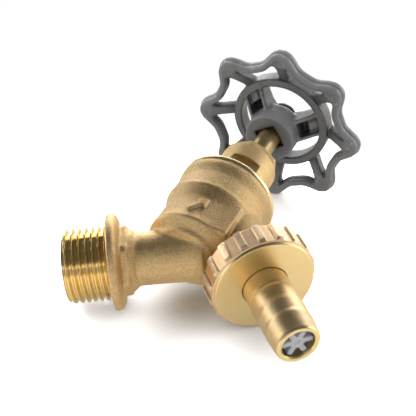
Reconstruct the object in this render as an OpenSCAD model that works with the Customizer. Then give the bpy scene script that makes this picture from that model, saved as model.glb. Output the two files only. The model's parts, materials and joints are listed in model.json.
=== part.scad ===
// Angle-seat hose bib with a back-flow insert in its hose tail, drawn about 6 mm open.
// Frame: origin at the centre of the wall face of the inlet flange, +X out of
// the wall along the inlet, +Z up as installed.  All sizes in millimetres.

/* [Layout] */
// Tilt of the spindle axis above the inlet axis, degrees
stem_tilt = 60.2; // [59:0.1:61.5]
// Tilt of the outlet axis below the inlet axis, degrees
outlet_tilt = 75.4; // [74.5:0.1:76.5]
// Distance from the flange face to the crossing of inlet and spindle axes
cross_x = 21.05; // [20.8:0.05:21.4]
// Distance along the spindle from that crossing to the outlet axis
outlet_s = 21.96; // [21.6:0.02:22.3]

/* [Inlet] */
// Major radius of the inlet thread (G 1/2)
in_thread_r = 10.4775; // [10.40:0.0025:10.5]
// Root radius of the inlet thread
in_root_r = 9.32; // [9.1:0.02:9.5]
// Thread pitch of both pipe threads (14 per inch)
thread_pitch = 1.814; // [1.8:0.001:1.82]
// Length of the inlet spigot
in_len = 12.5; // [12.3:0.1:13]
// Radius of the wall flange
flange_r = 13.55; // [13.2:0.05:14.5]
// Radius of the thread relief in the flange face
relief_r = 10.8; // [10.6:0.05:11]
// Depth of the thread relief
relief_d = 0.35; // [0.2:0.05:0.4]
// Outer radius of the inlet pipe
pipe_r = 7.55; // [7.3:0.05:7.8]
// Bore radius of the inlet
in_bore_r = 5.5; // [5:0.1:5.8]
// Width across flats of the hexagon collar
collar_af = 18; // [17.6:0.1:18.4]

/* [Chamber] */
// Radius of the lower barrel
barrel_r = 12.85; // [12.7:0.05:13]
// Radius of the upper barrel
barrel_top_r = 14.25; // [14.1:0.05:14.4]
// Radius of the turned mouth rim
rim_r = 15.05; // [14.8:0.05:15.3]
// Station of the turned mouth rim
rim_s = 27.68; // [27.5:0.02:27.9]
// Radius of the water chamber
chamber_r = 10.4; // [10:0.1:10.8]
// Radius of the seat opening
seat_r = 5.3; // [5:0.1:5.5]
// Station of the seat lip
seat_s = 9.5; // [9.3:0.1:9.6]
// Radius of the mouth thread
mouth_r = 12.05; // [12:0.01:12.1]

/* [Outlet] */
// Outer radius of the outlet neck
neck_r = 7.7; // [7.5:0.05:8]
// Bore radius of the outlet
out_bore_r = 5.2; // [4.8:0.1:5.4]
// Crest radius of the outlet thread
out_thread_r = 13.0; // [12.9:0.01:13.03]
// Station where the outlet thread starts
out_thread_t = 26.3; // [26:0.1:26.8]
// Station of the outlet sealing face
out_face_t = 31.7; // [31.6:0.02:31.7]

/* [Headwork] */
// Radius of the bonnet barrel
bonnet_r = 9; // [8.8:0.05:9.2]
// Station of the bonnet top
bonnet_s = 43.2; // [43:0.1:43.6]
// Width across the two milled flats of the bonnet
bonnet_af = 15.5; // [15.2:0.1:16.5]
// Width across flats of the gland nut
gland_af = 15.6; // [15:0.1:16]
// Station of the gland nut top
gland_s = 46; // [45.6:0.1:46.4]
// Radius of the spindle
stem_r = 3.54; // [3.5:0.01:3.56]
// Radius of the spindle thread
stem_thread_r = 5; // [4.95:0.01:5.02]

/* [Handwheel] */
// Station of the underside of the hub
hub_s = 59.5; // [59.2:0.1:60]
// Radius of the hub
hub_r = 8.32; // [8:0.02:8.6]
// Centre-line radius of the rim, midway between lobes and valleys
wheel_r = 23.9; // [23.5:0.1:25]
// Half the height of the waves in the rim
wheel_wave = 2.4; // [1.8:0.05:2.6]
// Number of lobes on the rim
wheel_lobes = 8; // [8]
// Phase of the lobes, degrees
wheel_phase = 4.5; // [0:0.5:5]
// Direction of the first spoke, degrees
spoke_phase = -11; // [-14:0.5:-8]

/* [Union] */
// Radius over the ribs of the union nut
nut_r = 15.05; // [14.9:0.05:15.3]
// Number of ribs on the union nut
nut_ribs = 18; // [16:1:20]
// Station of the back of the union nut
nut_t0 = 28.1; // [28:0.05:28.2]
// Station of the turned face of the union nut
nut_t1 = 36.3; // [36.2:0.05:36.5]
// Radius of the barb crests on the hose tail
barb_r = 6.42; // [6.36:0.01:6.5]
// Station of the end of the hose tail
tail_t1 = 58.7; // [58.5:0.1:59]
// Bore radius at the end of the hose tail
tail_bore_r = 4.42; // [4.41:0.01:4.45]

/* [Hidden] */
$fn = 64;
// Stations are distances along an axis: _s on the spindle, _t on the outlet.
out_x = cross_x + outlet_s * cos(stem_tilt);
out_z = outlet_s * sin(stem_tilt);
gap = 0.02;     // between stacked parts
overlap = 0.1;  // between solids joined end to end
past = 1;       // run of a cutter beyond a face

bright_brass = [0.86, 0.72, 0.45];
dull_brass = [0.80, 0.66, 0.40];
black_rubber = [0.1, 0.1, 0.1];

// ---- placement: local z runs along the named axis ---------------------
// outwards along the spindle
module on_stem() translate([cross_x, 0, 0]) rotate([0, 90 - stem_tilt, 0]) children();
// down the outlet
module on_outlet() translate([out_x, 0, out_z]) rotate([0, 90 + outlet_tilt, 0]) children();
// out of the wall
module on_inlet() rotate([0, 90, 0]) children();
// equally spaced copies about z
module around(count, phase)
    for (k = [0 : count - 1]) rotate([0, 0, phase + 360 * k / count]) children();

// ---- shapes about local z, from one station to another ----------------
module rod(radius, from, to) translate([0, 0, from]) cylinder(r = radius, h = to - from);
module frustum(r_from, r_to, from, to)
    translate([0, 0, from]) cylinder(r1 = r_from, r2 = r_to, h = to - from);
module tube(outer, inner, from, to) translate([0, 0, from]) difference() {
    cylinder(r = outer, h = to - from);
    translate([0, 0, -past]) cylinder(r = inner, h = to - from + 2 * past);
}
// hexagonal prism by its width across flats
module hexbar(flats, from, to)
    translate([0, 0, from]) cylinder(r = flats / sqrt(3), h = to - from, $fn = 6);
// rectangular bar centred on the axis
module bar(x, y, from, to) translate([-x / 2, -y / 2, from]) cube([x, y, to - from]);
// solid of revolution from [radius, station] points
module turned(profile) rotate_extrude() polygon(profile);
// plate centred on the local xz plane, from [radius, station] points
module plate(profile, thick)
    rotate([90, 0, 0]) translate([0, 0, -thick / 2]) linear_extrude(height = thick)
        polygon(profile);

// screw thread drawn as separate rings with flat crests, the first centred at `first`
ridge_foot = 0.62;   // half width at the root
ridge_crest = 0.16;  // half width at the crest
function ridges(root, crest, first, count, pitch) =
    [for (i = [0 : count - 1]) let (mid = first + i * pitch) each [
        [root, mid - ridge_foot], [crest, mid - ridge_crest],
        [crest, mid + ridge_crest], [root, mid + ridge_foot]]];
module thread(root, crest, from, to, first, count, pitch)
    turned(concat([[0, from], [root, from]], ridges(root, crest, first, count, pitch),
        [[root, to], [0, to]]));

// ---- cast body --------------------------------------------------------
chamber_top_s = 15.5;
seat_tube_top_s = 8.2;
// wall flange: rounded back, thread relief round the spigot
flange_profile = [
    [0, relief_d], [relief_r, relief_d], [relief_r, 0], [flange_r - 0.15, 0],
    [flange_r, 0.15], [flange_r, 1.65], [flange_r - 0.3, 2.25], [flange_r - 0.9, 2.7],
    [flange_r - 1.8, 3.0], [10.6, 3.2], [0, 3.2]];
// barrel with two cast steps and the turned mouth
barrel_profile = [
    [0, -2.2], [8.8, -1.95], [9.7, -1.6], [10.05, -1.0], [10.5, -0.4], [12.3, 0.95],
    [12.7, 1.4], [barrel_r, 2.2], [barrel_r, 11.4], [13.5, 12.6], [14.1, 14.2],
    [barrel_top_r + 0.15, 14.9], [barrel_top_r, 15.6], [barrel_top_r, 21], [14.6, 23],
    [14.95, 24.6], [rim_r - 0.1, 25.4], [rim_r - 0.4, 25.7], [rim_r, 26],
    [rim_r, rim_s - 0.25], [rim_r - 0.25, rim_s], [0, rim_s]];
// section of the shoulder block across the spindle axis, [x, y]
shoulder_outline = [[-3, -11], [3.9, -12.0], [11.5, -9.1], [11.5, 9.1], [3.9, 12.0], [-3, 11]];

module inlet_outside() {
    on_inlet() {
        thread(in_root_r, in_thread_r, -in_len, 0.5, -in_len + 0.64, 7, thread_pitch);
        turned(flange_profile);
        // hexagon collar with its corners turned off
        intersection() {
            hexbar(collar_af, 2.2, 5.5);
            rod(9.9, 2, 6);
        }
        frustum(8.95, pipe_r, 5.45, 7.2);
        rod(pipe_r, 5, 24.6);
    }
    // rounded end of the pipe
    translate([24.2, 0, 0]) sphere(r = 7.95);
}
module barrel_outside() on_stem() {
    turned(barrel_profile);
    // shoulder block that the outlet neck leaves from
    translate([0, 0, 2]) linear_extrude(height = 11.8) polygon(shoulder_outline);
}
module outlet_outside() on_outlet() {
    rod(neck_r, 8, out_thread_t + 1);
    thread(11.95, out_thread_r, out_thread_t, out_face_t, out_thread_t + 1.15, 3, thread_pitch);
}
module valve_body() color([0.80, 0.66, 0.42]) difference() {
    union() {
        difference() {
            union() {
                inlet_outside();
                barrel_outside();
                outlet_outside();
            }
            on_stem() {
                rod(chamber_r, 8, chamber_top_s);
                rod(mouth_r, chamber_top_s - overlap, rim_s + 2 * past);
            }
            on_outlet() rod(out_bore_r, 0, out_face_t + 2 * past);
        }
        // seat tube and tapered lip that stand in the chamber
        on_stem() {
            rod(7.3, 2, seat_tube_top_s);
            frustum(7.0, 6.6, seat_tube_top_s - 0.2, seat_s);
        }
    }
    // waterway from the inlet up through the seat
    on_inlet() rod(in_bore_r, -in_len - past, 21.5);
    on_stem() {
        rod(7.1, -1, 5);
        rod(seat_r, 4.8, seat_s + past);
    }
    // counterbore in the outlet face
    on_outlet() rod(7.6, 29.9, out_face_t + 2 * past);
}

// ---- headwork ---------------------------------------------------------
bonnet_base_s = 16.5;
flats_from_s = 29.4;
flats_to_s = 37.3;
stem_hole_r = stem_r + 0.06;
// packing box and the stack in it, from the floor up
box_r = 6.42;
box_part_r = 6.36;
box_floor_s = 34.5;
washer_top_s = 35.3;
packing_top_s = 38.3;
follower_top_s = 39.3;
gland_thread_r = 6.38;

module bonnet_gasket() color([0.62, 0.20, 0.16]) on_stem()
    tube(11.9, 10.5, chamber_top_s + gap, bonnet_base_s - gap);
module bonnet() color(bright_brass) on_stem() difference() {
    union() {
        thread(11.3, mouth_r - 0.05, bonnet_base_s, 27.1, 18.2, 5, 1.7);
        rod(bonnet_r, 26, flats_from_s + overlap);
        // two milled flats
        intersection() {
            rotate([0, 0, 108]) bar(bonnet_af, 20, flats_from_s, flats_to_s + overlap);
            rod(bonnet_r, flats_from_s, flats_to_s);
        }
        turned([[0, flats_to_s - overlap], [bonnet_r, flats_to_s - overlap],
            [bonnet_r, bonnet_s - 0.3], [bonnet_r - 0.3, bonnet_s], [0, bonnet_s]]);
    }
    // stepped bore, from the valve end up to the packing box
    rod(7.8, 16, 21);
    rod(stem_thread_r + 0.05, 20, 33);
    rod(stem_hole_r, 30, 40);
    rod(box_r, box_floor_s, bonnet_s + past);
}
module packing_washer() color(dull_brass) on_stem()
    tube(box_part_r, stem_hole_r, box_floor_s + gap, washer_top_s - gap);
module gland_packing() color([0.92, 0.92, 0.90]) on_stem()
    tube(box_part_r, stem_r + 0.03, washer_top_s + gap, packing_top_s - gap);
module gland_follower() color(dull_brass) on_stem()
    tube(box_part_r, stem_hole_r, packing_top_s + gap, follower_top_s - gap);
module gland_nut() color(bright_brass) on_stem() difference() {
    union() {
        thread(5.95, gland_thread_r, follower_top_s + gap, bonnet_s + overlap, 40.2, 2, 1.3);
        rod(gland_thread_r, bonnet_s - 0.8, bonnet_s + overlap);
        // hexagon with its corners bevelled above and below
        intersection() {
            rotate([0, 0, 38]) hexbar(gland_af, bonnet_s + gap, gland_s);
            turned([[0, bonnet_s], [7.7, bonnet_s], [8.95, bonnet_s + 0.75],
                [8.95, gland_s - 0.9], [7.3, gland_s], [0, gland_s]]);
        }
    }
    rod(stem_hole_r, 38, gland_s + past);
}

// ---- spindle group ----------------------------------------------------
square_w = 5.6;
square_turn = -26;
square_top_s = 67.6;
// groove shared by spindle and jumper, where the clip sits
clip_groove_r = 3;
clip_from_s = 24;
clip_to_s = 25;
clip_play = 0.12;
// jumper tip with the washer and its nut
tip_r = 1.5;
tip_hole_r = 1.55;
washer_nut_top_s = 15.54;
seat_washer_top_s = 18.55;

module stem() color(bright_brass) on_stem() difference() {
    union() {
        turned([[0, 20.7], [4.6, 20.7], [stem_thread_r, 21.1],
            [stem_thread_r, 32.6], [4.7, 32.9], [0, 32.9]]);
        rod(stem_r, 32, 61.4);
        // square end that drives the handwheel
        intersection() {
            rotate([0, 0, square_turn]) bar(square_w, square_w, 61, square_top_s);
            rod(stem_r, 61, square_top_s);
        }
    }
    // jumper socket and its clip groove
    rod(2.45, 20, 27.2);
    rod(clip_groove_r, clip_from_s, clip_to_s);
    // screw hole
    rod(1.55, 57, 68);
}
// carries the washer and stays free to turn in the spindle
module jumper() color(dull_brass) on_stem() difference() {
    union() {
        rod(7.2, seat_washer_top_s + gap, 20.6);
        rod(2.4, 20.5, 26.9);
        rod(tip_r, 12.9, 18.7);
    }
    tube(clip_groove_r, 1.9, clip_from_s, clip_to_s);
}
module jumper_clip() color([0.6, 0.6, 0.62]) on_stem() difference() {
    tube(2.93, 1.95, clip_from_s + clip_play, clip_to_s - clip_play);
    // slot that opens the ring
    translate([1, -0.4, 23]) cube([3, 0.8, 3]);
}
module seat_washer() color([0.12, 0.12, 0.12]) on_stem()
    tube(7.0, tip_hole_r, washer_nut_top_s + gap, seat_washer_top_s);
module washer_nut() color(dull_brass) on_stem() difference() {
    hexbar(5.5, 13.5, washer_nut_top_s);
    rod(tip_hole_r, 13, 16);
}

// ---- handwheel --------------------------------------------------------
hub_top_s = 71.2;
wheel_washer_top_s = 72.1;
wheel_hole_r = 2.2;
rim_half = 1.3;         // half thickness of the wavy rim
rim_points = 96;
wave_harmonic = 0.22;   // share of the double-frequency wave
tangent_step = 0.5;     // degrees either side of a rim point

hub_profile = [
    [0, hub_s], [hub_r - 0.35, hub_s], [hub_r, hub_s + 0.35],
    [hub_r, 67.6], [7.6, 68.4], [6.8, hub_top_s], [0, hub_top_s]];
web_profile = [
    [15.2, 70.7], [15.2, 74.0], [17.6, 73.6], [23.4, 69.6],
    [25.9, 68.7], [25.9, 65.2], [23.6, 65.2], [18.4, 68.9]];
spoke_profile = [
    [6, 63.6], [7.8, 64.1], [13.4, 68.2], [14.6, 68.75],
    [14.6, 73.9], [13.2, 73.8], [8, 70.8], [6, 70.2]];
// open towards the valve, deep by the hub and shallow further out
recess_profile = [
    [8.6, 60], [13.6, 60], [13.6, 69.4], [13.3, 69.2], [10.7, 67.2], [10.7, 70.7], [8.6, 69.4]];
pad_profile = [[11.1, 67.0], [13.4, 68.75], [13.4, 70.5], [11.1, 68.7]];
screw_head_profile = [
    [0, wheel_washer_top_s + gap], [5.3, wheel_washer_top_s + gap],
    [5.4, 73.0], [4.9, 74.2], [3.7, 75.0], [0, 75.4]];

function wave_radius(angle) = let (turn = wheel_lobes * (angle - wheel_phase))
    wheel_r + wheel_wave * (cos(turn) + wave_harmonic * cos(2 * turn));
function wave_point(angle) = wave_radius(angle) * [cos(angle), sin(angle)];
// point on the wave, moved outwards along its normal
function rim_point(angle, out) =
    let (along = wave_point(angle + tangent_step) - wave_point(angle - tangent_step))
    wave_point(angle) + out * [along[1], -along[0]] / norm(along);
module rim_outline(out)
    polygon([for (i = [0 : rim_points - 1]) rim_point(i * 360 / rim_points, out)]);

// channel spoke with a raised pad on the floor of its recess
module spoke() {
    difference() {
        plate(spoke_profile, 8);
        plate(recess_profile, 5.4);
    }
    plate(pad_profile, 3.5);
}
module handwheel() color([0.36, 0.36, 0.37]) on_stem() difference() {
    union() {
        turned(hub_profile);
        around(3, spoke_phase) spoke();
        // middle ring, then the webs from it to the rim
        tube(16.55, 13.8, 68.7, 74.2);
        around(wheel_lobes, wheel_phase) plate(web_profile, 4.6);
        translate([0, 0, 64.9]) linear_extrude(height = 4) difference() {
            rim_outline(rim_half);
            rim_outline(-rim_half);
        }
    }
    // square socket, wider at its mouth
    rotate([0, 0, square_turn]) bar(7.5, 7.5, hub_s - past, hub_s + 2);
    rotate([0, 0, square_turn]) bar(square_w + 0.1, square_w + 0.1, hub_s + 1, hub_s + 8.2);
    rod(wheel_hole_r, 67, 72);
}
module handwheel_washer() color([0.75, 0.75, 0.77]) on_stem()
    tube(6.3, wheel_hole_r, hub_top_s + gap, wheel_washer_top_s);
module handwheel_screw() color([0.85, 0.85, 0.87]) on_stem() difference() {
    union() {
        turned(screw_head_profile);
        rod(2.0, square_top_s, wheel_washer_top_s + overlap);
        rod(1.5, 58, square_top_s + overlap);
    }
    // cross recess
    for (angle = [0, 90]) rotate([0, 0, angle + 20]) bar(4.6, 0.9, 74, 77);
}

// ---- union and hose tail ----------------------------------------------
tail_t0 = 33.2;
seal_gap = 0.03;  // either side of the tail gasket
rib_len = 6.6;
nut_profile = [
    [0, nut_t0], [14.2, nut_t0], [14.45, nut_t0 + 0.3], [14.45, 34.9], [14.2, 35.3],
    [14.1, nut_t1 - 0.25], [13.95, nut_t1], [0, nut_t1]];
// collar, plain shank, then three barbs
tail_profile = [
    [0, tail_t0], [12.4, tail_t0], [12.4, 34.58], [6.34, 34.58], [6.26, 34.8],
    [6.26, 41.2], [6.12, 41.4], [barb_r, 42.5], [barb_r, 42.9], [6.17, 46.4],
    [barb_r, 47.6], [barb_r, 48.0], [6.17, 51.4], [barb_r, 52.4], [barb_r, 52.8],
    [5.95, 58.4], [5.75, tail_t1], [0, tail_t1]];

module union_nut() color([0.82, 0.64, 0.44]) on_outlet() difference() {
    union() {
        turned(nut_profile);
        // ribs, tapered towards the turned face
        around(nut_ribs, 8) intersection() {
            translate([13.8, -0.9, nut_t0 + gap]) cube([1.6, 1.8, 6.5]);
            frustum(nut_r + 0.1, nut_r - 0.25, nut_t0, nut_t0 + rib_len);
        }
    }
    rod(13.1, nut_t0 - past, 34.62);
    rod(6.5, 34, nut_t1 + past);
}
module tail_gasket() color([0.15, 0.15, 0.15]) on_outlet()
    tube(11.8, 5.0, out_face_t + seal_gap, tail_t0 - seal_gap);
module hose_tail() color([0.84, 0.69, 0.42]) on_outlet() difference() {
    turned(tail_profile);
    rod(3.6, 32, 45);
    rod(tail_bore_r, 44, tail_t1 + past);
}

// ---- back-flow insert -------------------------------------------------
insert_t1 = 57.7;
guide_t0 = 56.3;
oring_from_t = 45.9;
oring_to_t = 47.3;
// sleeve with a six-armed outlet guide
module check_housing() color([0.93, 0.94, 0.95]) on_outlet() difference() {
    union() {
        difference() {
            rod(4.39, 44.05, insert_t1);
            rod(2.2, 43, 50);
            rod(3.6, 49, 58.5);
        }
        rod(1.55, guide_t0, insert_t1);
        around(6, -2) translate([0.9, -0.5, guide_t0]) cube([2.95, 1.0, insert_t1 - guide_t0]);
    }
    // O-ring groove, then the hole that guides the poppet
    tube(5, 3.2, oring_from_t, oring_to_t);
    rod(0.76, 55, 58.5);
}
module check_oring() color(black_rubber) on_outlet()
    rotate_extrude() translate([3.81, (oring_from_t + oring_to_t) / 2]) circle(r = 0.59);
module check_poppet() color([0.90, 0.91, 0.92]) on_outlet() union() {
    rod(1.15, 49.04, 49.8);
    rod(3.1, 49.7, 50.9);
    rod(0.7, 50.8, 57.15);
}
module poppet_seal() color(black_rubber) on_outlet() tube(2.95, 1.18, 49.05, 49.66);
// closing spring: rings of wire points that follow the helix, capped at both ends
module check_spring() color([0.7, 0.7, 0.72]) on_outlet() {
    wire_r = 0.22;
    coil_r = 1.75;
    from = 51.2;
    to = 56.0;
    turns = 5;
    steps = turns * 18;
    sides = 8;
    points = [for (i = [0 : steps])
        let (turn = 360 * turns * i / steps, mid = from + (to - from) * i / steps)
        for (j = [0 : sides - 1])
            let (around_wire = 360 * j / sides, radius = coil_r + wire_r * cos(around_wire))
            [radius * cos(turn), radius * sin(turn), mid + wire_r * sin(around_wire)]];
    skin = [for (i = [0 : steps - 1]) for (j = [0 : sides - 1])
        let (next = (j + 1) % sides, ring = i * sides)
        [ring + j, ring + next, ring + sides + next, ring + sides + j]];
    start_cap = [for (j = [0 : sides - 1]) sides - 1 - j];
    end_cap = [for (j = [0 : sides - 1]) steps * sides + j];
    polyhedron(points = points, convexity = 10, faces = concat(skin, [start_cap], [end_cap]));
}

valve_body();
bonnet_gasket();
bonnet();
packing_washer();
gland_packing();
gland_follower();
gland_nut();
stem();
handwheel();
handwheel_washer();
handwheel_screw();
jumper();
jumper_clip();
seat_washer();
washer_nut();
union_nut();
tail_gasket();
hose_tail();
check_housing();
check_oring();
check_poppet();
poppet_seal();
check_spring();
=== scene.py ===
"""A hose bib: its visible meshes, its materials and a small studio, built round the CAD frame.

The inlet runs along +X, with the flange face at x = 0 and a threaded spigot on its -X side.
The spindle and outlet axes come from the turning joints and are square to Y.
The valve rests on its +Y side, on flange, union nut and handwheel, so up is roughly -Y.
"""
import json
import math
from itertools import combinations, product

import bpy
import numpy as np
from mathutils import Matrix


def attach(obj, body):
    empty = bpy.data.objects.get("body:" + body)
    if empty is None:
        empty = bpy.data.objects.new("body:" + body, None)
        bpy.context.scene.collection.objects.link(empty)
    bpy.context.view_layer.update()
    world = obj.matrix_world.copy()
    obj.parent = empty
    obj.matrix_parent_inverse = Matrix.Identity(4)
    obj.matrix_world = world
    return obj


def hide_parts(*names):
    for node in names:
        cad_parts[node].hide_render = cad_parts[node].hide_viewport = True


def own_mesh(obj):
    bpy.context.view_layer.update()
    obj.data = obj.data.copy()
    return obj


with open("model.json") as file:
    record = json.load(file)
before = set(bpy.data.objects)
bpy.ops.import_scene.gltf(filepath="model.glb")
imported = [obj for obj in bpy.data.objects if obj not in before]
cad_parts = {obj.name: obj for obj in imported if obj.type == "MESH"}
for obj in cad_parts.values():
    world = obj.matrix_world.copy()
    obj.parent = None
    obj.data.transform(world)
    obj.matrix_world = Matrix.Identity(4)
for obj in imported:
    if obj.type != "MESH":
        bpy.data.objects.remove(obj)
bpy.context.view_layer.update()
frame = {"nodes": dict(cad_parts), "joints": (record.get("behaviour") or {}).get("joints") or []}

# ---------------------------------------------------------------- axes
# Shapes are worked out in millimetres and scaled to metres when a mesh is made.
MM = 0.001


class Axis:
    """A turning axis. Its own coordinates are across, rise (the frame's +Y) and along."""

    def __init__(self, origin, direction):
        self.origin = np.array(origin, float)
        self.direction = np.array(direction, float)
        self.across = np.array([self.direction[2], 0.0, -self.direction[0]])
        self.rise = np.array([0.0, 1.0, 0.0])

    def local(self, points):
        offset = points - self.origin
        return offset @ self.across, offset[:, 1], offset @ self.direction

    def polar(self, points):
        """Radius, angle and station of frame points."""
        across, rise, along = self.local(points)
        return np.hypot(across, rise), np.arctan2(rise, across), along

    def to_frame(self, across, rise, along):
        return (
            self.origin
            + across[..., None] * self.across
            + rise[..., None] * self.rise
            + along[..., None] * self.direction
        )

    def from_polar(self, radius, angle, along):
        return self.to_frame(radius * np.cos(angle), radius * np.sin(angle), along)


joints = {joint["name"]: joint for joint in frame["joints"]}


def joint_axis(name):
    direction = np.array(joints[name]["axis"], float)
    origin = np.array(joints[name]["pos_m"], float) * 1000
    return Axis(origin, direction / np.linalg.norm(direction))


STEM = joint_axis("handwheel_turn")
OUTLET = joint_axis("nut_turn")
INLET = Axis([0, 0, 0], [1, 0, 0])

# ---------------------------------------------------------------- noise
NOISE_CELLS = 48
CORNERS = list(product((0, 1), repeat=3))
noise_table = np.random.RandomState(7).random_sample((NOISE_CELLS,) * 3).astype(np.float32)


def noise(points):
    """Smooth value noise, -1 to 1, one lattice cell per unit."""
    cell = np.floor(points).astype(int)
    part = points - cell
    part = part * part * (3 - 2 * part)
    total = 0.0
    for corner in CORNERS:
        x, y, z = (part[:, i] if corner[i] else 1 - part[:, i] for i in range(3))
        i, j, k = ((cell[:, i] + corner[i]) % NOISE_CELLS for i in range(3))
        total = total + x * y * z * noise_table[i, j, k]
    return total * 2 - 1


# ---------------------------------------------------------------- meshes
NO_TRIS = np.zeros((0, 3), int)


def outwards(points, quads, tris=NO_TRIS):
    """The faces of a closed solid, turned over if they look inwards."""
    centred = points - points.mean(0)
    faces = np.concatenate([tris, quads[:, [0, 1, 2]], quads[:, [0, 2, 3]]])
    first, second, third = (centred[faces[:, i]] for i in range(3))
    if (first * np.cross(second, third)).sum() < 0:
        return quads[:, ::-1], tris[:, ::-1]
    return quads, tris


def solid(name, points, quads, tris=NO_TRIS, sharp=None):
    """A smooth mesh object from points in millimetres; sharp is a crease angle in degrees."""
    quads, tris = outwards(points, quads, tris)
    mesh = bpy.data.meshes.new(name)
    mesh.vertices.add(len(points))
    mesh.vertices.foreach_set("co", (points * MM).astype(np.float32).ravel())
    loops = np.concatenate([quads.ravel(), tris.ravel()]).astype(np.int32)
    mesh.loops.add(len(loops))
    mesh.loops.foreach_set("vertex_index", loops)
    starts = np.concatenate(
        [np.arange(len(quads)) * 4, len(quads) * 4 + np.arange(len(tris)) * 3]
    ).astype(np.int32)
    mesh.polygons.add(len(starts))
    mesh.polygons.foreach_set("loop_start", starts)
    mesh.polygons.foreach_set("use_smooth", np.ones(len(starts), bool))
    mesh.update(calc_edges=True)
    mesh.validate()
    if sharp:
        mesh.set_sharp_from_angle(angle=math.radians(sharp))
    ob = bpy.data.objects.new(name, mesh)
    bpy.context.scene.collection.objects.link(ob)
    return ob


def join(parts):
    """One set of points and quads from several."""
    all_points, all_quads, count = [], [], 0
    for points, quads in parts:
        all_points.append(points)
        all_quads.append(outwards(points, quads)[0] + count)
        count += len(points)
    return np.concatenate(all_points), np.concatenate(all_quads)


def grid_quads(rows, columns, closed):
    """Quads of a grid closed round its columns, and round its rows too if asked."""
    row = np.arange(rows if closed else rows - 1)[:, None]
    here = np.arange(columns)[None]
    beside = (here + 1) % columns
    base, above = row * columns, (row + 1) % rows * columns
    corners = [base + here, base + beside, above + beside, above + here]
    return np.stack(corners, -1).reshape(-1, 4)


# ---------------------------------------------------------------- turned outlines
def even_angles(count):
    return np.arange(count) * 2 * np.pi / count


def angles_with(count, extra):
    """Even angles with extra ones sorted in, for the edges of flats and ribs."""
    both = np.concatenate([even_angles(count), np.mod(extra, 2 * np.pi)])
    return np.unique(np.round(both, 7))


def angle_from(angles, marks):
    """Distance of every angle from its nearest mark."""
    gap = (angles[None] - marks[:, None] + np.pi) % (2 * np.pi) - np.pi
    return np.abs(gap).min(0)


def spread(outline, count):
    """Radius and station arrays of (rows, count) from an outline of radius and station."""
    outline = np.array(outline)
    return np.repeat(outline[:, :1], count, 1), np.repeat(outline[:, 1:2], count, 1)


def turned(axis, radius, along, angles):
    """Points and quads of a ring whose section is a closed loop of rows."""
    points = axis.from_polar(radius, angles, along).reshape(-1, 3)
    return points, grid_quads(*radius.shape, True)


def lathe(axis, outline, count):
    return turned(axis, *spread(outline, count), even_angles(count))


def soften(outline, steps):
    """Rounds a closed outline of radius, station and corner size, in steps per corner."""
    out = []
    for i, (radius, along, size) in enumerate(outline):
        corner = np.array([radius, along], float)
        if size <= 0:
            out.append(corner)
            continue
        before = np.array(outline[i - 1][:2], float) - corner
        after = np.array(outline[(i + 1) % len(outline)][:2], float) - corner
        length_before, length_after = np.linalg.norm(before), np.linalg.norm(after)
        size = min(size, 0.45 * length_before, 0.45 * length_after)
        start = corner + before / length_before * size
        stop = corner + after / length_after * size
        for k in range(steps + 1):
            t = k / steps
            out.append((1 - t) ** 2 * start + 2 * t * (1 - t) * corner + t * t * stop)
    return np.array(out)


def dense(outline, step):
    """Splits the long sides of a closed outline."""
    out = []
    for i, point in enumerate(outline):
        side = outline[(i + 1) % len(outline)] - point
        out.append(point)
        count = int(np.linalg.norm(side) // step)
        for k in range(1, count + 1):
            out.append(point + side * k / (count + 1))
    return np.array(out)


# ---------------------------------------------------------------- distance fields
def merge(first, second, fillet):
    """Union of two distances with a fillet."""
    share = np.clip(0.5 + 0.5 * (second - first) / fillet, 0, 1)
    return second * (1 - share) + first * share - fillet * share * (1 - share)


def trim(first, second, fillet):
    """Overlap of two distances with a rounded edge."""
    return -merge(-first, -second, fillet)


def band(value, start, stop):
    """Distance to the span from start to stop."""
    return np.maximum(start - value, value - stop)


def polygon(x, y, corners):
    """Signed distance to a closed polygon."""
    distance = np.full(x.shape, 1e9)
    sign = np.ones(x.shape)
    for i, (corner_x, corner_y) in enumerate(corners):
        last_x, last_y = corners[i - 1]
        edge_x, edge_y = last_x - corner_x, last_y - corner_y
        from_x, from_y = x - corner_x, y - corner_y
        t = (from_x * edge_x + from_y * edge_y) / (edge_x * edge_x + edge_y * edge_y)
        t = np.clip(t, 0, 1)
        gap = (from_x - edge_x * t) ** 2 + (from_y - edge_y * t) ** 2
        distance = np.minimum(distance, gap)
        above, below = y >= corner_y, y < last_y
        left = edge_x * from_y > edge_y * from_x
        flip = (above & below & left) | (~above & ~below & ~left)
        sign = np.where(flip, -sign, sign)
    return sign * np.sqrt(distance)


def rounded_box(x, y, half, corner):
    """Signed distance to a rectangle with rounded corners."""
    over_x, over_y = np.abs(x) - half[0] + corner, np.abs(y) - half[1] + corner
    return (
        np.minimum(np.maximum(over_x, over_y), 0)
        + np.hypot(np.maximum(over_x, 0), np.maximum(over_y, 0))
        - corner
    )


def spin(across, rise, degrees):
    """Coordinates on axes turned by some degrees."""
    cos, sin = math.cos(math.radians(degrees)), math.sin(math.radians(degrees))
    return across * cos + rise * sin, -across * sin + rise * cos


def wrap(angle, degrees, count):
    """Angle from the middle of the nearest of count sectors, the first one at degrees."""
    half = math.pi / count
    return (angle - math.radians(degrees) + half) % (2 * half) - half


def fold(radius, angle, degrees, count):
    """Distances out along and sideways from the nearest of count arms."""
    angle = wrap(angle, degrees, count)
    return radius * np.cos(angle), radius * np.sin(angle)


def smooth_step(start, stop, value):
    t = np.clip((value - start) / (stop - start), 0, 1)
    return t * t * (3 - 2 * t)


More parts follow.
